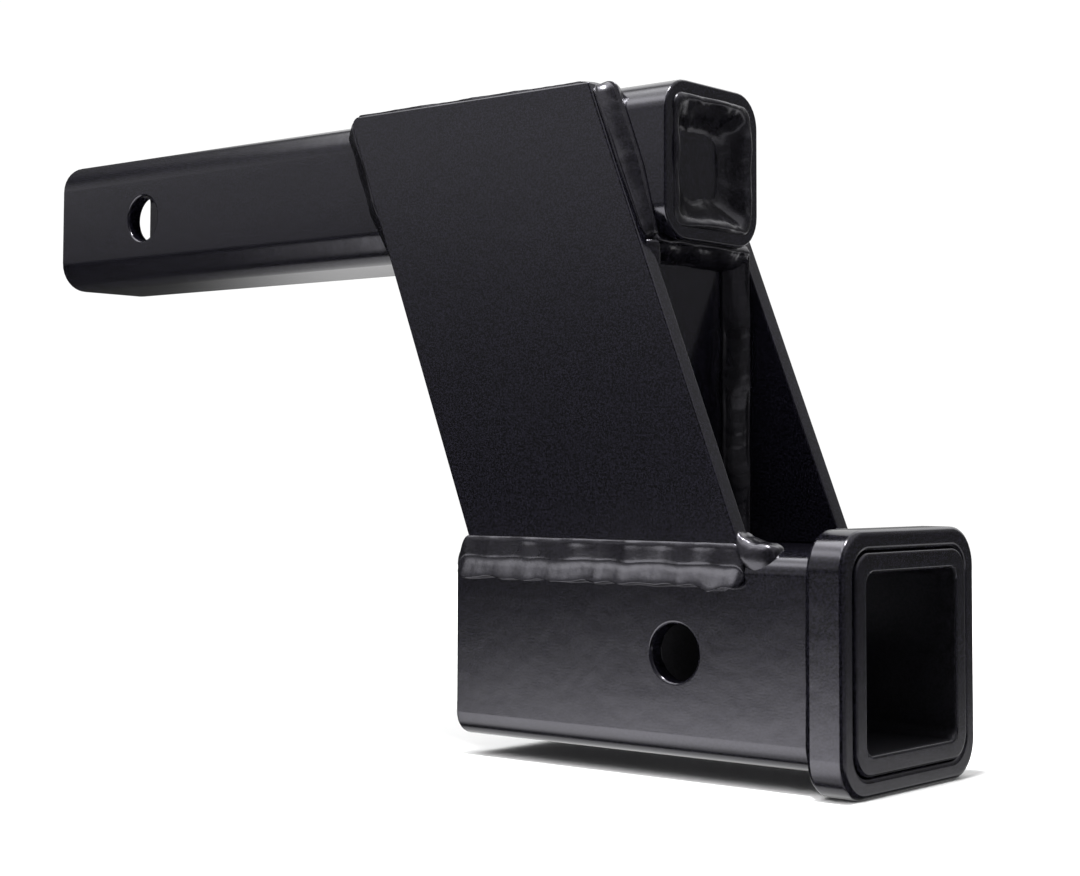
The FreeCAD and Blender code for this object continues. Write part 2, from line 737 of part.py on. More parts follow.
plug_bead = weld_shank_plug([shank.Shape, plug.Shape])
beads = [plug_bead, weld_receiver_collar([receiver_solid, collar.Shape])]
web_neighbours = [shank_solid, receiver_solid, web.Shape, left_plate.Shape, right_plate.Shape]
for side_name, side_sign, side_plate, side_seed in (("left", -1, left_plate, 30),
                                                    ("right", 1, right_plate, 40)):
    top = weld_top(side_name, side_sign, side_seed, [shank_solid, side_plate.Shape])
    edge_neighbours = [shank_solid, side_plate.Shape, top.Shape, plug_bead.Shape]
    front = weld_edge(side_name, "front", side_sign, side_seed + 1, edge_neighbours)
    rear = weld_edge(side_name, "rear", side_sign, side_seed + 2, edge_neighbours)
    foot = weld_foot(side_name, side_sign, side_seed + 3, [*receiver_lengths, side_plate.Shape])
    beads += [top, front, rear, foot]
    web_neighbours += [front.Shape, foot.Shape]

web_front_x = mouth - size("web_setback")
corners = {(side, level): Vector(web_front_x, side * shank_top, level)
           for side in (-1, 1) for level in (-shank_top, receiver_top)}
for edge_name, edge_start, edge_end, edge_up, edge_seed in (
        ("top", (-1, -shank_top), (1, -shank_top), Vector(0, 0, -1), 51),
        ("foot", (-1, receiver_top), (1, receiver_top), Vector(0, 0, 1), 52),
        ("left", (-1, receiver_top), (-1, -shank_top), Vector(0, 1, 0), 53),
        ("right", (1, receiver_top), (1, -shank_top), Vector(0, -1, 0), 54)):
    bead = weld_web(edge_name, corners[edge_start], corners[edge_end], edge_up, edge_seed,
                    web_neighbours)
    beads.append(bead)
    web_neighbours.append(bead.Shape)
doc.recompute()

for item in doc.Objects:
    if "Invalid" in item.State or "Error" in item.State:
        raise RuntimeError(f"{item.Label} failed: {item.State}")

parts = [shank, plug, receiver, collar, left_plate, right_plate, web, *beads]
os.makedirs("parts", exist_ok=True)
for item in parts:
    if item.Shape.isNull() or not item.Shape.isValid():
        raise RuntimeError(f"{item.Label} has no valid shape")
    item.Shape.exportStep(f"parts/{item.Label}.step")
    print(item.Label, round(item.Shape.Volume), len(item.Shape.Solids))
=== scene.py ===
"""Looks of the hitch receiver adapter: painted steel, hand-laid weld beads, studio and camera.

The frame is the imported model's: metres, origin in the middle of the shank's pin hole, X towards
the receiver's mouth, Y along the pins, Z up. The side towards -Y is called left.
"""

import logging
import math
from dataclasses import dataclass, field
from enum import Enum
from typing import Callable

import bpy
from mathutils import Matrix, Vector, noise

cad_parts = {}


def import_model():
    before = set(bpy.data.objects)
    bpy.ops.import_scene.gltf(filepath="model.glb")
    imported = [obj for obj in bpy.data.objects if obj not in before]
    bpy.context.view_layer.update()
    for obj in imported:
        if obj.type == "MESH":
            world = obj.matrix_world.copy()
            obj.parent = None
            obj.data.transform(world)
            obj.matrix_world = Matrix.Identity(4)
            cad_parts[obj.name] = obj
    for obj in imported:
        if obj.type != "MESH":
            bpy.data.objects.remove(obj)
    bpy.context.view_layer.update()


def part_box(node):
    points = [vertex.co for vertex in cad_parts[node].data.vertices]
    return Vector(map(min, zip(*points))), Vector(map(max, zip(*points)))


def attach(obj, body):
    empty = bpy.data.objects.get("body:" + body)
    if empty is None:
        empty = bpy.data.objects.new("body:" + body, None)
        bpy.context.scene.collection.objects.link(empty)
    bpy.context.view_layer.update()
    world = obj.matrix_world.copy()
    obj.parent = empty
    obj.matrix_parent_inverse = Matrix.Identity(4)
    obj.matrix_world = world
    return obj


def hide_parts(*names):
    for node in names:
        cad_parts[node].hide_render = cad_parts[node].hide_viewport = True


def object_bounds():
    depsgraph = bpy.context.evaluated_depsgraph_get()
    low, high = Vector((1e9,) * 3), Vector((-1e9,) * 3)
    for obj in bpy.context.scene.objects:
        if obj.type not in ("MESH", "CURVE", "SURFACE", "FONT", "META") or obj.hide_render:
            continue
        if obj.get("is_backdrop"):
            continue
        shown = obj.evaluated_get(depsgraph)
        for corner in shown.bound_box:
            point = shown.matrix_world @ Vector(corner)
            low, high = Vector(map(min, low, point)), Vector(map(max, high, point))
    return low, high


MM = 0.001
INCH = 25.4 * MM
BODY = "root"

# Sizes of the steel that the frame's boxes don't give.
PIN_HOLE = 17.4625 * MM
SHANK_BORE = 38.1 * MM
SHANK_WALL = 6.35 * MM
SHANK_CORNER = 11 * MM
SHANK_BORE_CORNER = 4.65 * MM
RECEIVER_BORE = 51.4 * MM
RECEIVER_CORNER = 7.6 * MM
RECEIVER_BORE_CORNER = 3.6 * MM
RECEIVER_LEVEL = -152.4 * MM
RECEIVER_PIN_DEPTH = 2.5 * INCH
PLATE_LEAN = 57.8 * MM

# Angles from which an edge is rounded and up to which it is shaded smooth.
ROUND_FROM = math.radians(34)
SMOOTH_UP_TO = math.radians(50)
FACE_WEIGHT = 80

log = logging.getLogger("hitch_receiver_adapter")

Frame = tuple[Vector, Vector, Vector]
FrameAt = Callable[[float], Frame]
Outline = list[tuple[float, float, float]]
OutlineAt = Callable[[float], Outline]
Span = tuple[float, float]
Heights = tuple[Span, ...]
Socket = bpy.types.NodeSocket


class Slot(Enum):
    """The record's material slots."""

    STEEL = "black_paint"
    WELD = "painted_weld"


class Way(Enum):
    """One of two ways along an axis, by its sign."""

    @property
    def label(self) -> str:
        """Give its name as the nodes have it."""
        return self.name.lower()


class Side(Way):
    """The adapter's two sides, by the sign of Y."""

    LEFT = -1
    RIGHT = 1


class End(Way):
    """A side plate's two slanted ends, by the sign of X."""

    REAR = -1
    FRONT = 1


def clean_start() -> None:
    """Leave object mode ready, with nothing selected."""
    if bpy.context.object and bpy.context.object.mode != "OBJECT":
        bpy.ops.object.mode_set(mode="OBJECT")
    bpy.ops.object.select_all(action="DESELECT")


def pick(piece: bpy.types.Object) -> None:
    """Select one object alone and make it active.

    Args:
        piece: The object to work on.
    """
    clean_start()
    piece.select_set(True)
    bpy.context.view_layer.objects.active = piece


def apply_place(piece: bpy.types.Object) -> None:
    """Put an object's place, turn and size into its mesh.

    Args:
        piece: The object to settle.
    """
    pick(piece)
    bpy.ops.object.transform_apply(location=True, rotation=True, scale=True)


def apply_modifiers(piece: bpy.types.Object) -> None:
    """Apply every modifier in order.

    Args:
        piece: The object that carries them.
    """
    pick(piece)
    for modifier in list(piece.modifiers):
        bpy.ops.object.modifier_apply(modifier=modifier.name)


def add_block(name: str, low: Vector, high: Vector) -> bpy.types.Object:
    """Start a piece from a block between two corners.

    Args:
        name: The new object's name.
        low: Lowest corner.
        high: Highest corner.

    Returns:
        The block, with its place in its mesh.
    """
    clean_start()
    bpy.ops.mesh.primitive_cube_add(size=1.0, location=(low + high) / 2)
    block = bpy.context.object
    block.name = name
    block.scale = high - low
    apply_place(block)
    return block


def round_edges(
    piece: bpy.types.Object,
    wanted: Callable[[Vector, Vector], bool],
    radius: float,
    segments: int,
) -> None:
    """Round the edges that a test picks, by the bevel operator.

    Args:
        piece: The object to shape.
        wanted: Test of an edge's two ends.
        radius: Radius of the round.
        segments: Faces across the round.
    """
    pick(piece)
    bpy.ops.object.mode_set(mode="EDIT")
    bpy.ops.mesh.select_mode(type="EDGE")
    bpy.ops.mesh.select_all(action="DESELECT")
    bpy.ops.object.mode_set(mode="OBJECT")
    mesh = piece.data
    for edge in mesh.edges:
        first, second = (mesh.vertices[i].co for i in edge.vertices)
        edge.select = wanted(first, second)
    bpy.ops.object.mode_set(mode="EDIT")
    bpy.ops.mesh.bevel(offset=radius, segments=segments, profile=0.5, affect="EDGES")
    bpy.ops.object.mode_set(mode="OBJECT")


def runs_along(axis: int) -> Callable[[Vector, Vector], bool]:
    """Return a test for edges parallel to an axis.

    Args:
        axis: 0, 1 or 2.

    Returns:
        The test, for round_edges.
    """

    def test(first: Vector, second: Vector) -> bool:
        """Tell whether an edge runs along the axis alone."""
        run = second - first
        return abs(run[axis]) > 0.999 * run.length

    return test


def cut(piece: bpy.types.Object, cutter: bpy.types.Object) -> None:
    """Cut one object from another and delete the cutter.

    Args:
        piece: The object that stays.
        cutter: The object that is taken away.
    """
    modifier = piece.modifiers.new("cut", "BOOLEAN")
    modifier.operation = "DIFFERENCE"
    modifier.solver = "EXACT"
    modifier.object = cutter
    apply_modifiers(piece)
    bpy.data.objects.remove(cutter)


def bore_square(
    piece: bpy.types.Object, low: Vector, high: Vector, corner: float, segments: int
) -> None:
    """Cut a square hole with round corners along X.

    Args:
        piece: The object that gets the hole.
        low: Lowest corner of what is cut away.
        high: Its highest corner.
        corner: Radius of the hole's corners.
        segments: Faces across each corner.
    """
    cutter = add_block("cutter", low, high)
    round_edges(cutter, runs_along(0), corner, segments)
    cut(piece, cutter)


def soften(piece: bpy.types.Object, width: float, segments: int = 3) -> None:
    """Round every sharp edge as paint and grinding leave it, and shade the piece smooth.

    Args:
        piece: The object to finish.
        width: Width of the round.
        segments: Faces across it.
    """
    bevel = piece.modifiers.new("edges", "BEVEL")
    bevel.width = width
    bevel.segments = segments
    bevel.limit_method = "ANGLE"
    bevel.angle_limit = ROUND_FROM
    bevel.use_clamp_overlap = True
    apply_modifiers(piece)
    bpy.ops.object.shade_smooth_by_angle(angle=SMOOTH_UP_TO)
    weighted = piece.modifiers.new("normals", "WEIGHTED_NORMAL")
    weighted.keep_sharp = True
    weighted.weight = FACE_WEIGHT
    apply_modifiers(piece)


@dataclass(frozen=True)
class Wiring:
    """Adds nodes to one tree and links them."""

    tree: bpy.types.NodeTree

    def put(self, kind: str, *sources: Socket) -> bpy.types.Node:
        """Add a node and link its first inputs.

        Args:
            kind: The node's type.
            sources: What its inputs are linked to, in order.

        Returns:
            The node.
        """
        node = self.tree.nodes.new(kind)
        for source, entry in zip(sources, node.inputs):
            self.tree.links.new(source, entry)
        return node

    def worked(self, operation: str, first: Socket, second: Socket | float) -> Socket:
        """Work out one sum on two values.

        Args:
            operation: The sum, as a Math node has it.
            first: The first value's socket.
            second: The second value, or its socket.

        Returns:
            The result's socket.
        """
        node = self.put("ShaderNodeMath", first)
        node.operation = operation
        if isinstance(second, float):
            node.inputs[1].default_value = second
        else:
            self.tree.links.new(second, node.inputs[1])
        return node.outputs["Value"]

    def ranged(
        self, value: Socket, before: Span, after: Span = (0.0, 1.0), smooth: bool = False
    ) -> Socket:
        """Carry a value from one range to another and hold it there.

        Args:
            value: The value's socket.
            before: Both ends of the range that it comes from.
            after: Both ends of the range that it goes to.
            smooth: Whether it eases in and out at the ends.

        Returns:
            The result's socket.
        """
        node = self.put("ShaderNodeMapRange", value)
        if smooth:
            node.interpolation_type = "SMOOTHSTEP"
        for name, number in zip(("From Min", "From Max", "To Min", "To Max"), before + after):
            node.inputs[name].default_value = number
        return node.outputs["Result"]


@dataclass(frozen=True)
class Paint:
    """A black semi-gloss coat over steel or weld metal.

    Its flecks, dull patches, slow waves and orange peel come from noise in object space. In
    a square hollow along X, given by its centre across and up, the coat is thin and dull.
    """

    name: str
    colour: tuple[float, float, float]
    roughness: float
    peel_size: float
    peel_depth: float
    wave_size: float
    wave_depth: float
    fleck_size: float
    fleck_gain: float
    gloss_tint: tuple[float, float, float] = (0.92, 0.90, 1.0)
    refraction: float = 1.5
    fleck_range: Span = (0.4, 0.6)
    patch_waves: float = 9.0
    patch_range: Span = (0.3, 0.7)
    patch_dullness: Span = (0.88, 1.12)
    hollow_centre: Span = (0.0, 0.0)
    hollow_half: float = 0.0
    hollow_dullness: float = 0.45

    def make(self) -> bpy.types.Material:
        """Build the node material.

        Returns:
            The material.
        """
        material = bpy.data.materials.new(self.name)
        material.use_nodes = True
        tree = material.node_tree
        wiring = Wiring(tree)
        shader = tree.nodes["Principled BSDF"]
        shader.inputs["Metallic"].default_value = 0.0
        shader.inputs["IOR"].default_value = self.refraction
        shader.inputs["Specular Tint"].default_value = (*self.gloss_tint, 1.0)
        place = wiring.put("ShaderNodeTexCoord").outputs["Object"]

        def grain(size: float, detail: float) -> Socket:
            """Add noise of a feature size in metres."""
            node = wiring.put("ShaderNodeTexNoise", place)
            node.inputs["Scale"].default_value = 1 / size
            node.inputs["Detail"].default_value = detail
            return node.outputs["Fac"]

        def bump(size: float, detail: float, depth: float) -> bpy.types.Node:
            """Add bumps of a feature size and a depth in metres."""
            node = wiring.put("ShaderNodeBump")
            node.inputs["Distance"].default_value = depth
            tree.links.new(grain(size, detail), node.inputs["Height"])
            return node

        shade = wiring.put("ShaderNodeMix")
        shade.data_type = "RGBA"
        shade.inputs["A"].default_value = (*self.colour, 1.0)
        shade.inputs["B"].default_value = (*(part * self.fleck_gain for part in self.colour), 1.0)
        flecks = wiring.ranged(grain(self.fleck_size, 1.0), self.fleck_range)
        tree.links.new(flecks, shade.inputs["Factor"])
        tree.links.new(shade.outputs["Result"], shader.inputs["Base Color"])

        patches = wiring.ranged(
            grain(self.patch_waves * self.wave_size, 3.0), self.patch_range, self.patch_dullness
        )
        uneven = wiring.worked("MULTIPLY", patches, self.roughness)
        split = wiring.put("ShaderNodeSeparateXYZ", place)
        across = wiring.worked("SUBTRACT", split.outputs["Y"], self.hollow_centre[0])
        upwards = wiring.worked("SUBTRACT", split.outputs["Z"], self.hollow_centre[1])
        reach = wiring.worked(
            "MAXIMUM",
            wiring.worked("ABSOLUTE", across, 0.0),
            wiring.worked("ABSOLUTE", upwards, 0.0),
        )
        inside = wiring.worked("LESS_THAN", reach, self.hollow_half)
        dull = wiring.worked("MULTIPLY", inside, self.hollow_dullness)
        tree.links.new(wiring.worked("ADD", uneven, dull), shader.inputs["Roughness"])

        wave = bump(self.wave_size, 1.0, self.wave_depth)
        peel = bump(self.peel_size, 2.0, self.peel_depth)
        tree.links.new(wave.outputs["Normal"], peel.inputs["Normal"])
        tree.links.new(peel.outputs["Normal"], shader.inputs["Normal"])
        return material


STEEL_PAINT = Paint(
    name="black_paint",
    colour=(0.0003, 0.00028, 0.00047),
    roughness=0.15,
    peel_size=0.6 * MM,
    peel_depth=0.007 * MM,
    wave_size=7 * MM,
    wave_depth=0.03 * MM,
    fleck_size=0.65 * MM,
    fleck_gain=18.0,
    hollow_centre=(0.0, RECEIVER_LEVEL),
    hollow_half=RECEIVER_BORE / 2 + 0.15 * MM,
)

WELD_PAINT = Paint(
    name="painted_weld",
    colour=(0.0012, 0.0011, 0.0017),
    roughness=0.26,
    peel_size=0.8 * MM,
    peel_depth=0.02 * MM,
    wave_size=3 * MM,
    wave_depth=0.025 * MM,
    fleck_size=0.7 * MM,
    fleck_gain=4.0,
)


@dataclass
class Workshop:
    """Finishes pieces: paint, slot, body and the node that each stands for."""

    steel: bpy.types.Material
    weld: bpy.types.Material
    pieces: int = 0

    def deliver(self, piece: bpy.types.Object, node: str, slot: Slot) -> None:
        """Dress a finished piece and let it stand for its node.

        Args:
            piece: The finished object.
            node: The node that it replaces.
            slot: Its material slot in the record.
        """
        piece.name = f"{node}_look"
        piece.data.name = piece.name
        piece.data.materials.clear()
        piece.data.materials.append(self.steel if slot is Slot.STEEL else self.weld)
        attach(piece, BODY)
        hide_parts(node)
        self.pieces += 1
        triangles = sum(len(face.vertices) - 2 for face in piece.data.polygons)
        log.info("%s: %d triangles", piece.name, triangles)


@dataclass
class SquareTube:
    """A square tube with round corners, a cross hole for the pin and softened rims."""

    shop: Workshop
    node: str
    outer_corner: float
    bore_corner: float
    bore: float
    pin_x: float
    edge_round: float
    pin_hole: float = PIN_HOLE
    corner_segments: int = 8
    hole_segments: int = 72

    def build(self) -> None:
        """Model the tube where its node lies."""
        low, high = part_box(self.node)
        middle = (low + high) / 2
        tube = add_block(self.node, low, high)
        round_edges(tube, runs_along(0), self.outer_corner, self.corner_segments)
        past = self.bore
        half = Vector((0, self.bore / 2, self.bore / 2))
        inner_low = Vector((low.x - past, middle.y, middle.z)) - half
        inner_high = Vector((high.x + past, middle.y, middle.z)) + half
        bore_square(tube, inner_low, inner_high, self.bore_corner, self.corner_segments)
        clean_start()
        bpy.ops.mesh.primitive_cylinder_add(
            vertices=self.hole_segments,
            radius=self.pin_hole / 2,
            depth=2 * (high.y - low.y),
            location=(self.pin_x, middle.y, middle.z),
            rotation=(math.pi / 2, 0, 0),
        )
        drill = bpy.context.object
        apply_place(drill)
        cut(tube, drill)
        soften(tube, self.edge_round)
        self.shop.deliver(tube, self.node, Slot.STEEL)


@dataclass
class Collar:
    """The ring that stiffens the receiver's mouth."""

    shop: Workshop
    outer_corner: float
    bore_corner: float
    edge_round: float
    node: str = "receiver_collar"
    tube_node: str = "receiver_tube"
    corner_segments: int = 10
    edge_segments: int = 4

    def build(self) -> None:
        """Model the ring round the tube."""
        low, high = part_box(self.node)
        tube_low, tube_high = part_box(self.tube_node)
        ring = add_block(self.node, low, high)
        round_edges(ring, runs_along(0), self.outer_corner, self.corner_segments)
        past = high.x - low.x
        inner_low = Vector((low.x - past, tube_low.y, tube_low.z))
        inner_high = Vector((high.x + past, tube_high.y, tube_high.z))
        bore_square(ring, inner_low, inner_high, self.bore_corner, self.corner_segments)
        soften(ring, self.edge_round, self.edge_segments)
        self.shop.deliver(ring, self.node, Slot.STEEL)


@dataclass
class FlatSteel:
    """The plates: both slanted sides, the web between them and the shank's plug."""

    shop: Workshop
    lean: float
    rear_top_round: float
    plug_corner: float
    edge_round: float
    thin_edge_round: float
    corner_segments: int = 6

    def side_plate(self, side: Side) -> None:
        """Model one slanted side plate.

        Args:
            side: Which side.
        """
        node = f"{side.label}_side_plate"
        low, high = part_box(node)
        plate = add_block(node, low, high)
        level = (low.z + high.z) / 2
        middle = (low.x + high.x) / 2
        for vertex in plate.data.vertices:
            top = vertex.co.z > level
            front = vertex.co.x > middle
            if top and front:
                vertex.co.x = high.x - self.lean
            if not top and not front:
                vertex.co.x = low.x + self.lean

        def at_rear_top(first: Vector, second: Vector) -> bool:
            """Tell whether an edge is the corner that the rear bead meets."""
            return runs_along(1)(first, second) and first.z > level and first.x < middle

        round_edges(plate, at_rear_top, self.rear_top_round, self.corner_segments)
        soften(plate, self.edge_round)
        self.shop.deliver(plate, node, Slot.STEEL)

    def cross_plate(self, node: str, corner: float = 0.0) -> None:
        """Model a plate that stands across the adapter.

        Args:
            node: Its node.
            corner: Radius of its corners, where they are round.
        """
        plate = add_block(node, *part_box(node))
        if corner:
            round_edges(plate, runs_along(0), corner, self.corner_segments)
        soften(plate, self.thin_edge_round)
        self.shop.deliver(plate, node, Slot.STEEL)

    def build(self) -> None:
        """Model both sides, the web and the plug."""
        for side in Side:
            self.side_plate(side)
        self.cross_plate("web_plate")
        self.cross_plate("shank_plug", self.plug_corner)


def straight(start: Vector, end: Vector, out: Vector, up: Vector) -> tuple[FrameAt, float]:
    """Give a joint's frame along a straight line.

    Args:
        start: First point of the joint's root.
        end: Last point.
        out: Unit vector of the outline's first axis.
        up: Unit vector of its second axis.

    Returns:
        The frame by distance, and the joint's length.
    """
    run = end - start
    along = run.normalized()

    def frame_at(distance: float) -> Frame:
        """Give root, out and up at a distance."""
        return start + along * distance, out, up

    return frame_at, run.length


def ring_path(
    half: float, corner: float, toe_half: float, toe_corner: float, centre: Vector, forward: float
) -> tuple[FrameAt, float]:
    """Give a joint's frame round a square path with round corners, across X.

    Args:
        half: Half width of the root's square.
        corner: Its corner radius.
        toe_half: Half width of the square that out points to.
        toe_corner: That square's corner radius.
        centre: Centre of both squares.
        forward: Sign of X that up points to.

    Returns:
        The frame by distance, and the path's length.
    """
    flat = 2 * (half - corner)
    stretch = flat + corner * math.pi / 2
    reach = abs(toe_half - half)

    def point(
        width: float, radius: float, share: float, angle: float | None, side: int
    ) -> Vector:
        """Give a square's point, at a share of one side or at an angle of the corner after it."""
        turn = side * math.pi / 2
        along = Vector((0, math.cos(turn), math.sin(turn)))
        away = Vector((0, math.sin(turn), -math.cos(turn)))
        hub = width - radius
        if angle is None:
            return away * width + along * (share * hub)
        return (away + along) * hub + (away * math.cos(angle) + along * math.sin(angle)) * radius

    def frame_at(distance: float) -> Frame:
        """Give root, out and up at a distance."""
        gone = distance % (4 * stretch)
        side = min(3, int(gone // stretch))
        rest = gone - side * stretch
        share = 2 * rest / flat - 1
        angle = None if rest <= flat else (rest - flat) / corner
        root = point(half, corner, share, angle, side)
        toe = point(toe_half, toe_corner, share, angle, side)
        return root + centre, (toe - root) / reach, Vector((forward, 0, 0))

    return frame_at, 4 * stretch


def steady(outline: Outline) -> OutlineAt:
    """Return an outline that stays the same along the joint.

    Args:
        outline: Its points.

    Returns:
        The outline by share.
    """
    return lambda share: outline


def blended(first: Outline, last: Outline, start: float, end: float) -> OutlineAt:
    """Return an outline that changes from one to another.

    Args:
        first: The outline up to the start.
        last: The outline from the end on.
        start: Share of the joint at which it starts to change.
        end: Share at which it has changed.

    Returns:
        The outline by share.
    """

    def outline_at(share: float) -> Outline:
        """Give the outline at a share of the joint."""
        blend = min(1.0, max(0.0, (share - start) / (end - start)))
        return [
            tuple(a * (1 - blend) + b * blend for a, b in zip(one, two))
            for one, two in zip(first, last)
        ]

    return outline_at


def curve(a: float, b: float, c: float, d: float, share: float) -> float:
    """Give the smooth curve through four values in a row, between the middle two.

    Args:
        a: The value before.
        b: The value that the stretch starts from.
        c: The value that it runs to.
        d: The value after.
        share: Share of the stretch.

    Returns:
        The curve's value.
    """
    square = 2 * a - 5 * b + 4 * c - d
    cube = 3 * b - a - 3 * c + d
    return 0.5 * (2 * b + (c - a) * share + square * share**2 + cube * share**3)


def rounded_section(outline: Outline, steps: int) -> Outline:
    """Draw a smooth closed curve through an outline's points.

    Args:
        outline: Points of out, up and share of ripple.
        steps: Points that each stretch gets.

    Returns:
        The finer outline.
    """
    count = len(outline)
    fine = []
    for index in range(count):
        four = [outline[(index + shift) % count] for shift in (-1, 0, 1, 2)]
        for step in range(steps):
            fine.append(tuple(curve(*values, step / steps) for values in zip(*four)))
    return fine


# Shares that shape every bead, and how far apart it reads its noise.
SMALLEST_END = 0.12
RIPPLE_PEAK = 0.55
RIPPLE_SMALLEST = 0.75
RIPPLE_SPREAD = 0.5
TOE_WANDER = 0.4
FACE_FROM = 0.25
FINE_LUMP = 0.35
SEED_SPACING = 7.3
POINT_SPACING = 0.2


@dataclass
class Bead:
    """Weld metal laid by hand along a joint, formed ring by ring.

    A section runs from toe to toe over the face and back inside the steel. Each ripple rises
    steeply and falls away slowly, bowed back in the middle, and both toes wander. At an open
    bead's ends the section shrinks towards its heart, a place out and up from the joint.
    """

    node: str
    frame_at: FrameAt
    length: float
    outline_at: OutlineAt
    seed: int
    closed: bool = False
    pitch: float = 4.6 * MM
    ripple: float = 0.16 * MM
    bow: float = 1.7 * MM
    wander: float = 0.10
    swing: float = 11 * MM
    lump: float = 0.14 * MM
    lump_size: float = 5.5 * MM
    nose: float = 4.5 * MM
    ring_step: float = 0.55 * MM
    steps: int = 6
    heart: Span = (0.0, 0.0)
    ripples: int = field(init=False)
    facing: float = field(init=False)

    def __post_init__(self) -> None:
        """Count the ripples, and find the way that the outline turns, so that lifts point out."""
        self.ripples = max(3, round(self.length / self.pitch))
        outline = self.outline_at(0.5)
        pairs = zip(outline, outline[1:] + outline[:1])
        area = sum(a[0] * b[1] - b[0] * a[1] for a, b in pairs)
        self.facing = -1.0 if area > 0 else 1.0

    def swell(self, distance: float) -> float:
        """Give the share of full size, which rounds off both ends of an open bead.

        Args:
            distance: Distance along the joint.

        Returns:
            The share.
        """
        if self.closed:
            return 1.0
        inside = max(0.0, min(distance, self.length - distance))
        if inside >= self.nose:
            return 1.0
        return max(SMALLEST_END, math.sqrt(1 - (1 - inside / self.nose) ** 2))

    def ripple_at(self, distance: float, across: float) -> float:
        """Give the ripple's height above or below the face.

        Args:
            distance: Distance along the joint.
            across: Place across the face, from -1 at one toe to 1 at the other.

        Returns:
            The height.
        """
        pitch = self.length / self.ripples
        phase = (distance + self.bow * (1 - across**2)) / pitch
        index = math.floor(phase)
        part = phase - index
        draw = noise.cell(Vector((index % self.ripples, self.seed, 0.5)))
        size = RIPPLE_SMALLEST + RIPPLE_SPREAD * draw
        return self.ripple * size * (math.sin(math.pi * part**RIPPLE_PEAK) - 0.5)

    def ring(self, distance: float) -> list[Vector]:
        """Form one ring of the bead.

        Args:
            distance: Distance along the joint.

        Returns:
            The ring's points.
        """
        root, out, up = self.frame_at(distance)
        wandering = []
        for index, (outwards, upwards, free) in enumerate(self.outline_at(distance / self.length)):
            offset = Vector((self.seed * SEED_SPACING, index * POINT_SPACING, 0))
            draw = noise.noise(root / self.swing + offset)
            scale = 1 + self.wander * 2 * draw * min(1.0, TOE_WANDER + free)
            wandering.append((outwards * scale, upwards * scale, free))
        section = rounded_section(wandering, self.steps)
        count = len(section)
        swell = self.swell(distance)
        visible = [index for index, point in enumerate(section) if point[2] > FACE_FROM]
        first, last = visible[0], visible[-1]
        points = []
        for index, (outwards, upwards, free) in enumerate(section):
            before, after = section[index - 1], section[(index + 1) % count]
            tangent = Vector((after[0] - before[0], after[1] - before[1]))
            normal = Vector((-tangent.y, tangent.x)).normalized() * self.facing
            across = 2 * (index - first) / (last - first) - 1
            lift = self.ripple_at(distance, min(1.0, max(-1.0, across)))
            base = root + out * outwards + up * upwards
            bump = noise.noise(base / self.lump_size + Vector((self.seed, 0, 0)))
            fine = noise.noise(base / (self.lump_size * FINE_LUMP) + Vector((0, self.seed, 0)))
            height = lift + self.lump * (bump + FINE_LUMP * fine)
            height = height * max(0.0, min(1.0, free)) * swell
            sideways = self.heart[0] + (outwards - self.heart[0]) * swell
            level = self.heart[1] + (upwards - self.heart[1]) * swell
            points.append(
                root + out * (sideways + normal.x * height) + up * (level + normal.y * height)
            )
        return points

    def form(self) -> bpy.types.Object:
        """Form the whole bead as one closed mesh.

        Returns:
            The bead, not yet dressed.
        """
        rings = max(8, round(self.length / self.ring_step))
        laid = rings if self.closed else rings + 1
        points: list[Vector] = []
        around = 0
        for index in range(laid):
            ring = self.ring(self.length * index / rings)
            around = len(ring)
            points.extend(ring)
        faces: list[tuple[int, ...]] = []
        for index in range(rings):
            here = index * around
            there = (index + 1) % laid * around
            for step in range(around):
                following = (step + 1) % around
                faces.append((here + step, here + following, there + following, there + step))
        if not self.closed:
            for start in (0, rings * around):
                hub = len(points)
                points.append(sum(points[start:start + around], Vector()) / around)
                for step in range(around):
                    faces.append((start + step, start + (step + 1) % around, hub))
        mesh = bpy.data.meshes.new(self.node)
        mesh.from_pydata(points, [], faces)
        bead = bpy.data.objects.new(self.node, mesh)
        bpy.context.scene.collection.objects.link(bead)
        pick(bead)
        bpy.ops.object.mode_set(mode="EDIT")
        bpy.ops.mesh.select_all(action="SELECT")
        bpy.ops.mesh.normals_make_consistent(inside=False)
        bpy.ops.object.mode_set(mode="OBJECT")
        bpy.ops.object.shade_smooth()
        return bead


def fillet(leg_out: float, leg_up: float, crown: float, depth: float) -> Outline:
    """Give a fillet weld's section, from the upper toe over the face and back inside.

    Args:
        leg_out: Leg along out.
        leg_up: Leg along up.
        crown: How far the face bulges.
        depth: How far the toes and the root are sunk.

    Returns:
        The outline.
    """
    chord = Vector((leg_out, -leg_up))
    bulge = Vector((leg_up, leg_out)).normalized()
    steps = 6
    face: Outline = []
    for step in range(steps + 1):
        share = step / steps
        point = Vector((0, leg_up)) + chord * share + bulge * (crown * 4 * share * (1 - share))
        free = 0.0 if step in (0, steps) else 1.0
        face.append((point.x, point.y, free))
    inside = [(0.5 * leg_out, -depth, 0.0), (-depth, -depth, 0.0), (-depth, 0.5 * leg_up, 0.0)]
    return face + inside


EDGE_SECTIONS = {
    End.FRONT: (6 * MM, -0.5 * MM, 1.3 * MM),
    End.REAR: (7.8 * MM, 0.6 * MM, 0.4 * MM),
}


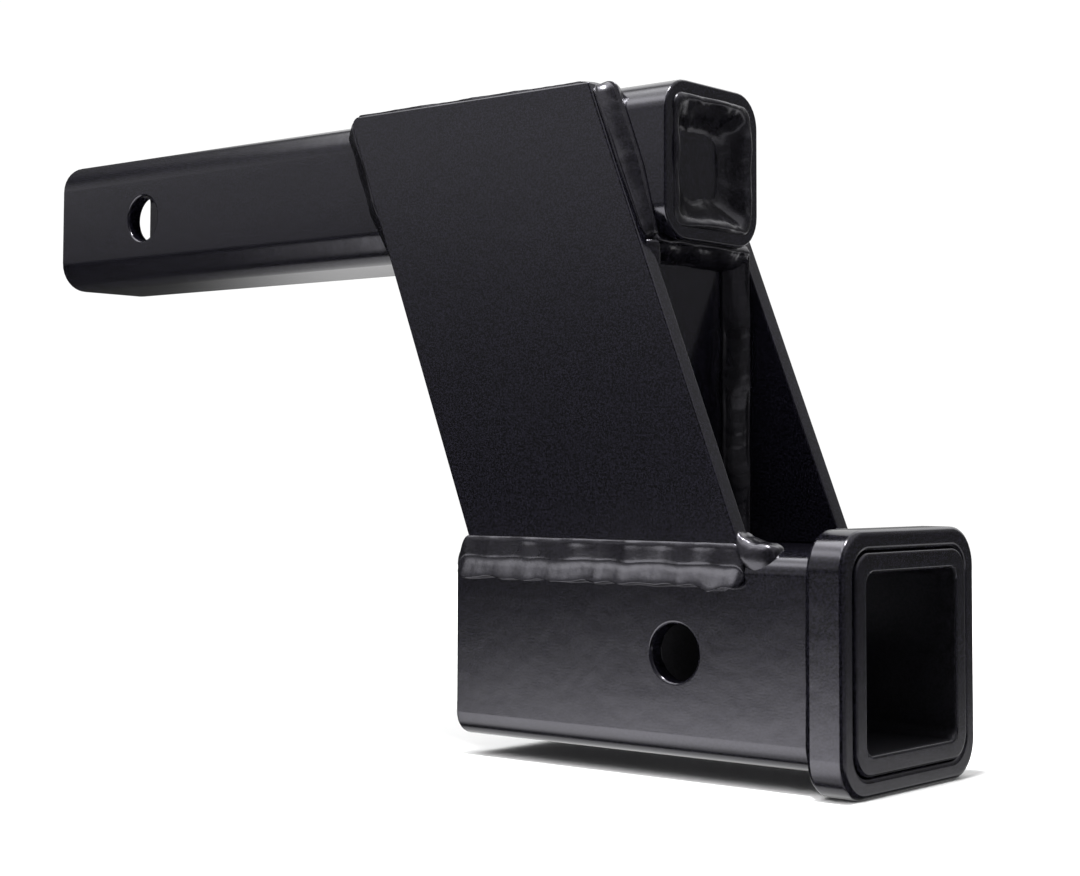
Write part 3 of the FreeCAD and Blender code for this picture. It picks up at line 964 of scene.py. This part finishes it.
@dataclass
class Welds:
    """All the beads, placed from the boxes of the steel that they join."""

    shop: Workshop
    lean: float
    shank_corner: float
    shank_wall: float
    bore_corner: float
    tube_corner: float

    def __post_init__(self) -> None:
        """Read the steel's places from the frame."""
        self.shank_low, self.shank_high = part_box("shank_tube")
        self.tube_low, self.tube_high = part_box("receiver_tube")
        self.plug_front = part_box("shank_plug")[1].x
        self.collar_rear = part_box("receiver_collar")[0].x
        self.web_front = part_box("web_plate")[1].x
        plate_low, plate_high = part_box("right_side_plate")
        self.thickness = plate_high.y - plate_low.y
        self.inner = plate_low.y
        self.foot_level = plate_low.z
        self.top_level = plate_high.z
        self.foot_front = plate_high.x
        self.foot_rear = plate_low.x + self.lean
        self.tops = {End.FRONT: plate_high.x - self.lean, End.REAR: plate_low.x}
        height = self.top_level - self.foot_level
        self.slant = Vector((self.lean, 0, -height)).normalized()
        self.ahead = Vector((height, 0, self.lean)).normalized()

    def lay(self, bead: Bead) -> None:
        """Form a bead and dress it."""
        self.shop.deliver(bead.form(), bead.node, Slot.WELD)

    def plug_weld(self) -> None:
        """Fill the step round the plug and lap the shank's end."""
        recess = self.shank_high.x - self.plug_front
        half = self.shank_high.y - self.shank_wall
        reach = 8.5 * MM
        lap = 2.2 * MM
        proud = 1.0 * MM
        outline = [
            (reach, -0.4 * MM, 0.0),
            (0.8 * reach, 0.10 * recess, 0.6),
            (0.55 * reach, 0.38 * recess, 1.0),
            (0.32 * reach, 0.72 * recess, 1.0),
            (0.08 * reach, recess + 0.4 * proud, 1.0),
            (-0.45 * lap, recess + proud, 0.8),
            (-lap, recess - 0.2 * MM, 0.0),
            (-0.4 * lap, 0.3 * recess, 0.0),
            (0.1 * reach, -1 * MM, 0.0),
        ]
        centre = Vector((self.plug_front, 0, (self.shank_low.z + self.shank_high.z) / 2))
        toe_half = half - reach
        path = ring_path(half, self.bore_corner, toe_half, 0.4 * toe_half, centre, 1)
        self.lay(Bead("weld_shank_plug", *path, steady(outline), seed=11, closed=True,
                      ripple=0.07 * MM, lump=0.42 * MM, lump_size=9 * MM))

    def collar_weld(self) -> None:
        """Weld the collar's rear face to the tube all round."""
        half = (self.tube_high.y - self.tube_low.y) / 2
        corner = self.tube_corner
        leg = 3.5 * MM
        outline = fillet(leg, leg, 0.5 * MM, 1 * MM)
        centre = Vector((self.collar_rear, 0, (self.tube_low.z + self.tube_high.z) / 2))
        path = ring_path(half, corner, half + leg, corner + leg, centre, -1)
        self.lay(Bead("weld_receiver_collar", *path, steady(outline), seed=21, closed=True,
                      wander=0.06))

    def top_weld(self, side: Side, seed: int) -> None:
        """Fill the groove between a side plate's top and the shank's round corner.

        Args:
            side: Which side.
            seed: The bead's own seed.
        """
        groove = self.shank_corner
        width = self.thickness
        crown = 1.1 * MM
        short = 1 * MM
        outline = [
            (0.1 * width, -0.86 * groove, 0.0),
            (0.8 * width, -0.4 * MM, 0.0),
            (0.72 * width, 0.55 * crown, 1.0),
            (0.25 * width, crown, 1.0),
            (-0.3 * groove, crown, 1.0),
            (-0.7 * groove, 0.6 * crown, 1.0),
            (-1.04 * groove, -0.3 * MM, 0.0),
            (-0.7 * groove, -0.35 * groove, 0.0),
            (-0.25 * groove, -0.8 * groove, 0.0),
        ]
        line = side.value * self.inner
        start = Vector((self.tops[End.REAR] + short, line, self.top_level))
        end = Vector((self.tops[End.FRONT] - short, line, self.top_level))
        path = straight(start, end, Vector((0, side.value, 0)), Vector((0, 0, 1)))
        self.lay(Bead(f"weld_{side.label}_top", *path, steady(outline), seed))

    def edge_weld(self, side: Side, end: End, seed: int) -> None:
        """Weld one end of a side plate to the shank's side.

        Args:
            side: Which side.
            end: Which end of the plate.
            seed: The bead's own seed.
        """
        leg, crown, step = EDGE_SECTIONS[end]
        sunk = 0.45 * self.shank_corner
        wide = fillet(leg, self.thickness - step, crown, sunk)
        narrow = fillet(0.5 * leg, 0.6 * self.thickness, crown, sunk)
        start = Vector((self.tops[end], side.value * self.inner, self.top_level))
        drop = self.shank_high.z - self.shank_low.z
        last = start + self.slant * (drop / -self.slant.z)
        path = straight(start, last, self.ahead * end.value, Vector((0, side.value, 0)))
        self.lay(Bead(f"weld_{side.label}_{end.label}", *path, blended(wide, narrow, 0.6, 1.0),
                      seed, ripple=0.05 * MM, lump=0.07 * MM, wander=0.08))

    def foot_weld(self, side: Side, seed: int) -> None:
        """Weld a side plate's foot along the receiver's corner and round the plate's front.

        The run along the side and the wrap round the front are laid one after the other.

        Args:
            side: Which side.
            seed: The run's seed.
        """
        inset = self.thickness / 2
        node = f"weld_{side.label}_foot"
        rise = 1.8 * MM
        fall = 12.6 * MM
        lip = 3.4 * MM
        past_rear = 4.2 * MM
        past_front = 1.5 * MM
        run = [
            (0, 0.4 * MM, 0.0),
            (inset - 0.3 * MM, rise, 0.0),
            (inset + 0.18 * lip, 0.5 * rise, 0.5),
            (inset + 0.215 * lip, -0.08 * fall, 0.26),
            (inset + 0.235 * lip, -0.32 * fall, 0.26),
            (inset + 0.245 * lip, -0.43 * fall, 0.3),
            (inset + 0.60 * lip, -0.62 * fall, 0.4),
            (inset + 0.97 * lip, -0.86 * fall, 0.7),
            (inset + 0.8 * lip, -0.91 * fall, 0.5),
            (inset - 0.4 * MM, -0.92 * fall, 0.0),
            (inset - 1.5 * MM, -0.65 * fall, 0.0),
            (0, -0.3 * fall, 0.0),
        ]
        line = side.value * (self.inner + self.thickness - inset)
        start = Vector((self.foot_rear - past_rear, line, self.foot_level))
        end = Vector((self.foot_front + past_front, line, self.foot_level))
        path = straight(start, end, Vector((0, side.value, 0)), Vector((0, 0, 1)))
        along = Bead(node, *path, steady(run), seed, ring_step=0.45 * MM, ripple=0.05 * MM,
                     nose=4 * MM, wander=0.09, lump=0.12 * MM, lump_size=4 * MM,
                     swing=8 * MM, heart=(inset, -0.66 * fall)).form()
        leg = 10 * MM
        height = 5.5 * MM
        corner_fall = 8 * MM
        past_inner = 3 * MM
        wrap = [
            (0, 0.3 * height, 0.0),
            (inset - 0.4 * MM, height, 0.0),
            (inset + 0.2 * leg, 0.72 * height, 0.8),
            (inset + 0.5 * leg, 0.46 * height, 1.0),
            (inset + 0.8 * leg, 0.36 * height, 1.0),
            (inset + 0.98 * leg, 0.02 * height, 0.8),
            (inset + 0.85 * leg, -0.6 * corner_fall, 0.0),
            (inset + 0.3 * leg, -corner_fall, 0.0),
            (0, -0.5 * corner_fall, 0.0),
        ]
        edge = self.foot_front - inset
        outer = side.value * (self.inner + 1.08 * self.thickness)
        start = Vector((edge, outer, self.foot_level))
        end = Vector((edge, side.value * (self.inner - past_inner), self.foot_level))
        path = straight(start, end, Vector((1, 0, 0)), -self.slant)
        turn = Bead(node, *path, steady(wrap), seed + 5, ring_step=0.3 * MM, nose=2.6 * MM,
                    wander=0.12, lump=0.35 * MM, heart=(inset, -0.3 * corner_fall)).form()
        clean_start()
        for part in (along, turn):
            part.select_set(True)
        bpy.context.view_layer.objects.active = along
        bpy.ops.object.join()
        self.shop.deliver(along, node, Slot.WELD)

    def web_welds(self) -> None:
        """Weld the web's front face to the shank, the receiver and both side plates."""
        leg = 7 * MM
        section = steady(fillet(leg, leg, 1.2 * MM, 0.5 * leg))
        left, right = -self.inner, self.inner
        foot, top = self.tube_high.z, self.shank_low.z
        rough = {"ripple": 0.3 * MM, "lump": 0.45 * MM}
        joints = (
            ("top", (left, top), (right, top), (0, -1), rough),
            ("foot", (left, foot), (right, foot), (0, 1), rough),
            ("left", (left, foot), (left, top), (1, 0), {}),
            ("right", (right, foot), (right, top), (-1, 0), {}),
        )
        for seed, (name, first, last, up, finish) in enumerate(joints, start=51):
            start = Vector((self.web_front, *first))
            end = Vector((self.web_front, *last))
            path = straight(start, end, Vector((1, 0, 0)), Vector((0, *up)))
            self.lay(Bead(f"weld_web_{name}", *path, section, seed, nose=1 * MM, **finish))

    def build(self) -> None:
        """Lay every bead."""
        self.plug_weld()
        self.collar_weld()
        for number, side in enumerate(Side, start=3):
            self.top_weld(side, 10 * number)
            self.edge_weld(side, End.FRONT, 10 * number + 1)
            self.edge_weld(side, End.REAR, 10 * number + 2)
            self.foot_weld(side, 10 * number + 3)
        self.web_welds()


@dataclass
class Camera:
    """The photograph's point of view, in the adapter's frame."""

    place: Vector = field(default_factory=lambda: Vector((0.62875, -0.52943, -0.09765)))
    yaw: float = math.radians(40.163)
    pitch: float = math.radians(3.381)
    roll: float = math.radians(0.192)
    picture_width: float = 1080.0
    picture_height: float = 876.0
    focal_pixels: float = 2036.698
    centre_row: float = 349.95
    sensor: float = 36.0
    nearest: float = 0.01
    farthest: float = 100.0

    def build(self) -> None:
        """Set up the camera."""
        data = bpy.data.cameras.new("photo_camera")
        data.sensor_fit = "HORIZONTAL"
        data.sensor_width = self.sensor
        data.lens = self.focal_pixels / self.picture_width * self.sensor
        data.shift_y = (self.centre_row - self.picture_height / 2) / self.picture_width
        data.clip_start = self.nearest
        data.clip_end = self.farthest
        camera = bpy.data.objects.new("photo_camera", data)
        bpy.context.scene.collection.objects.link(camera)
        level = Vector((-math.sin(self.yaw), math.cos(self.yaw), 0))
        forward = level * math.cos(self.pitch) + Vector((0, 0, math.sin(self.pitch)))
        right = Vector((math.cos(self.yaw), math.sin(self.yaw), 0))
        up = right.cross(forward)
        tilted_right = right * math.cos(self.roll) + up * math.sin(self.roll)
        tilted_up = up * math.cos(self.roll) - right * math.sin(self.roll)
        turn = Matrix((tilted_right, tilted_up, -forward)).transposed()
        camera.matrix_world = Matrix.Translation(self.place) @ turn.to_4x4()
        bpy.context.scene.camera = camera


@dataclass(frozen=True)
class Wall:
    """Light from one part of the room, by height in the sky.

    The part is centred on a heading, and is full inside one cosine and gone outside another.
    A wall may also end where the direction's X falls between two values.
    """

    heights: Heights
    heading: Span
    outside: float
    inside: float
    ends_at_x: Span = (-1.2, -1.1)


LEFT_WALL = Wall(
    heights=((-1.0, 0.0), (0.0, 0.0), (0.05, 0.14), (0.1, 0.34), (0.14, 0.64), (0.17, 0.9),
             (0.3, 0.7), (0.5, 0.3), (1.0, 0.3)),
    heading=(-0.58, -0.81),
    outside=0.84,
    inside=0.95,
)
LEFT_FLOOR = Wall(
    heights=((-1.0, 0.5), (-0.75, 1.5), (-0.6, 4.2), (-0.4, 5.4), (-0.2, 5.8), (-0.14, 5.8),
             (-0.115, 2.2), (-0.09, 0.4), (-0.07, 0.03), (-0.04, 0.0), (1.0, 0.0)),
    heading=(-0.58, -0.81),
    outside=0.75,
    inside=0.92,
    ends_at_x=(-0.71, -0.67),
)
SOFT_LIGHT = Wall(
    heights=((-1.0, 0.0), (0.35, 0.0), (0.47, 1.0), (0.55, 1.6), (0.62, 5.6), (0.7, 6.6),
             (0.75, 3.4), (0.8, 3.0), (0.84, 9.5), (0.92, 6.0), (1.0, 0.5)),
    heading=(-0.8, -0.6),
    outside=0.45,
    inside=0.75,
    ends_at_x=(-0.72, -0.66),
)
BACK_WALL = Wall(
    heights=((-1.0, 0.0), (-0.3, 0.3), (-0.15, 0.6), (-0.06, 0.5), (0.0, 0.0), (0.1, 0.3),
             (0.25, 1.0), (0.6, 1.7), (1.0, 0.6)),
    heading=(-0.42, 0.91),
    outside=0.80,
    inside=0.88,
    ends_at_x=(-0.77, -0.71),
)
BACK_FLOOR = Wall(
    heights=((-1.0, 1.3), (-0.6, 1.3), (-0.4, 0.9), (-0.15, 0.6), (-0.05, 0.0), (1.0, 0.0)),
    heading=(-0.88, 0.47),
    outside=0.87,
    inside=0.95,
    ends_at_x=(-0.77, -0.69),
)
FRONT_WALL = Wall(
    heights=((-1.0, 0.0), (-0.4, 0.0), (-0.25, 1.3), (-0.15, 1.1), (-0.11, 0.2), (-0.07, 0.1),
             (-0.03, 0.04), (0.05, 0.1), (0.2, 0.16), (0.5, 0.35), (0.6, 1.0), (1.0, 0.3)),
    heading=(0.8, 0.6),
    outside=0.2,
    inside=0.5,
)


@dataclass
class Studio:
    """A pale floor, a white surround and one small lamp.

    What the steel mirrors comes from the surround: a dim room and its walls of light, which on
    the adapter's left are a bright near floor, a dark horizon and a soft light above.
    """

    floor_centre: Span = (0.15, 0.0)
    floor_radius: float = 1.3
    floor_sides: int = 96
    floor_tone: float = 0.9
    seen_white: float = 1.05
    room: Heights = (
        (-1.0, 0.1), (-0.3, 0.05), (-0.1, 0.03), (0.0, 0.1), (0.3, 0.1), (0.6, 0.15),
        (0.9, 0.8), (1.0, 0.8),
    )
    walls: tuple[Wall, ...] = (
        LEFT_WALL, LEFT_FLOOR, SOFT_LIGHT, BACK_WALL, BACK_FLOOR, FRONT_WALL,
    )
    lamp_direction: tuple[float, float, float] = (0.136, -0.173, 0.967)
    lamp_distance: float = 1.1
    lamp_size: float = 0.2
    lamp_power: float = 24.0

    def floor(self, level: float) -> None:
        """Lay the floor under the adapter.

        Args:
            level: Height of the surface.
        """
        clean_start()
        bpy.ops.mesh.primitive_circle_add(
            vertices=self.floor_sides,
            radius=self.floor_radius,
            fill_type="NGON",
            location=(*self.floor_centre, level),
        )
        floor = bpy.context.object
        floor.name = "floor"
        floor.visible_glossy = False
        material = bpy.data.materials.new("pale_floor")
        material.use_nodes = True
        shader = material.node_tree.nodes["Principled BSDF"]
        shader.inputs["Base Color"].default_value = (self.floor_tone,) * 3 + (1.0,)
        shader.inputs["Roughness"].default_value = 1.0
        shader.inputs["Specular IOR Level"].default_value = 0.0
        floor.data.materials.append(material)
        floor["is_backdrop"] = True

    def surround(self) -> None:
        """Make the sky: white where it is seen, and uneven, like lit walls, where it lights."""
        world = bpy.data.worlds.new("studio")
        bpy.context.scene.world = world
        world.use_nodes = True
        tree = world.node_tree
        tree.nodes.clear()
        wiring = Wiring(tree)
        towards = wiring.put("ShaderNodeTexCoord").outputs["Generated"]
        split = wiring.put("ShaderNodeSeparateXYZ", towards)
        level = wiring.worked("MULTIPLY", wiring.worked("ADD", split.outputs["Z"], 1.0), 0.5)
        flat = wiring.put("ShaderNodeCombineXYZ", split.outputs["X"], split.outputs["Y"])
        heading = wiring.put("ShaderNodeVectorMath", flat.outputs[0])
        heading.operation = "NORMALIZE"

        def by_height(heights: Heights) -> Socket:
            """Add the light that a list gives for each height in the sky."""
            brightest = max(light for _, light in heights)
            ramp = wiring.put("ShaderNodeValToRGB", level)
            stops = ramp.color_ramp.elements
            while len(stops) < len(heights):
                stops.new(0.5)
            for stop, (height, light) in zip(stops, heights):
                stop.position = (height + 1) / 2
                stop.color = (light / brightest,) * 3 + (1.0,)
            return wiring.worked("MULTIPLY", ramp.outputs["Color"], brightest)

        light = by_height(self.room)
        for wall in self.walls:
            facing = wiring.put("ShaderNodeVectorMath", heading.outputs[0])
            facing.operation = "DOT_PRODUCT"
            facing.inputs[1].default_value = (*wall.heading, 0.0)
            near = wiring.ranged(facing.outputs["Value"], (wall.outside, wall.inside), smooth=True)
            short = wiring.ranged(split.outputs["X"], wall.ends_at_x, smooth=True)
            there = wiring.worked("MULTIPLY", near, short)
            shone = wiring.worked("MULTIPLY", by_height(wall.heights), there)
            light = wiring.worked("ADD", light, shone)

        lighting = wiring.put("ShaderNodeBackground")
        tree.links.new(light, lighting.inputs["Strength"])
        seen = wiring.put("ShaderNodeBackground")
        seen.inputs["Color"].default_value = (1.0, 1.0, 1.0, 1.0)
        seen.inputs["Strength"].default_value = self.seen_white
        mix = wiring.put(
            "ShaderNodeMixShader",
            wiring.put("ShaderNodeLightPath").outputs["Is Camera Ray"],
            lighting.outputs["Background"],
            seen.outputs["Background"],
        )
        wiring.put("ShaderNodeOutputWorld", mix.outputs["Shader"])

    def lamp(self, target: Vector) -> None:
        """Hang the lamp that gives corners their white glints.

        Args:
            target: What it points at.
        """
        towards = Vector(self.lamp_direction).normalized()
        data = bpy.data.lights.new("overhead", "AREA")
        data.shape = "DISK"
        data.size = self.lamp_size
        data.energy = self.lamp_power
        lamp = bpy.data.objects.new("overhead", data)
        bpy.context.scene.collection.objects.link(lamp)
        lamp.location = target + towards * self.lamp_distance
        lamp.rotation_euler = (-towards).to_track_quat("-Z", "Y").to_euler()

    def build(self) -> None:
        """Set up floor, surround and lamp."""
        low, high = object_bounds()
        self.floor(low.z)
        self.surround()
        self.lamp((low + high) / 2)
        bpy.context.scene.view_settings.view_transform = "Standard"


def main() -> None:
    """Build the studio, the steel and the welds in order."""
    logging.basicConfig(level=logging.INFO, format="%(name)s: %(message)s")
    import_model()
    clean_start()
    Camera().build()
    Studio().build()
    shop = Workshop(steel=STEEL_PAINT.make(), weld=WELD_PAINT.make())
    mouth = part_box("receiver_tube")[1].x
    SquareTube(
        shop,
        "shank_tube",
        outer_corner=SHANK_CORNER,
        bore_corner=SHANK_BORE_CORNER,
        bore=SHANK_BORE,
        pin_x=0.0,
        edge_round=0.9 * MM,
    ).build()
    SquareTube(
        shop,
        "receiver_tube",
        outer_corner=RECEIVER_CORNER,
        bore_corner=RECEIVER_BORE_CORNER,
        bore=RECEIVER_BORE,
        pin_x=mouth - RECEIVER_PIN_DEPTH,
        edge_round=1.0 * MM,
    ).build()
    Collar(
        shop,
        outer_corner=12 * MM,
        bore_corner=RECEIVER_CORNER,
        edge_round=1.8 * MM,
    ).build()
    FlatSteel(
        shop,
        lean=PLATE_LEAN,
        rear_top_round=4.5 * MM,
        plug_corner=4.45 * MM,
        edge_round=0.8 * MM,
        thin_edge_round=0.8 * MM / 3,
    ).build()
    Welds(
        shop,
        lean=PLATE_LEAN,
        shank_corner=SHANK_CORNER,
        shank_wall=SHANK_WALL,
        bore_corner=SHANK_BORE_CORNER,
        tube_corner=RECEIVER_CORNER,
    ).build()
    log.info("%d pieces", shop.pieces)


if __name__ == "__main__":
    main()
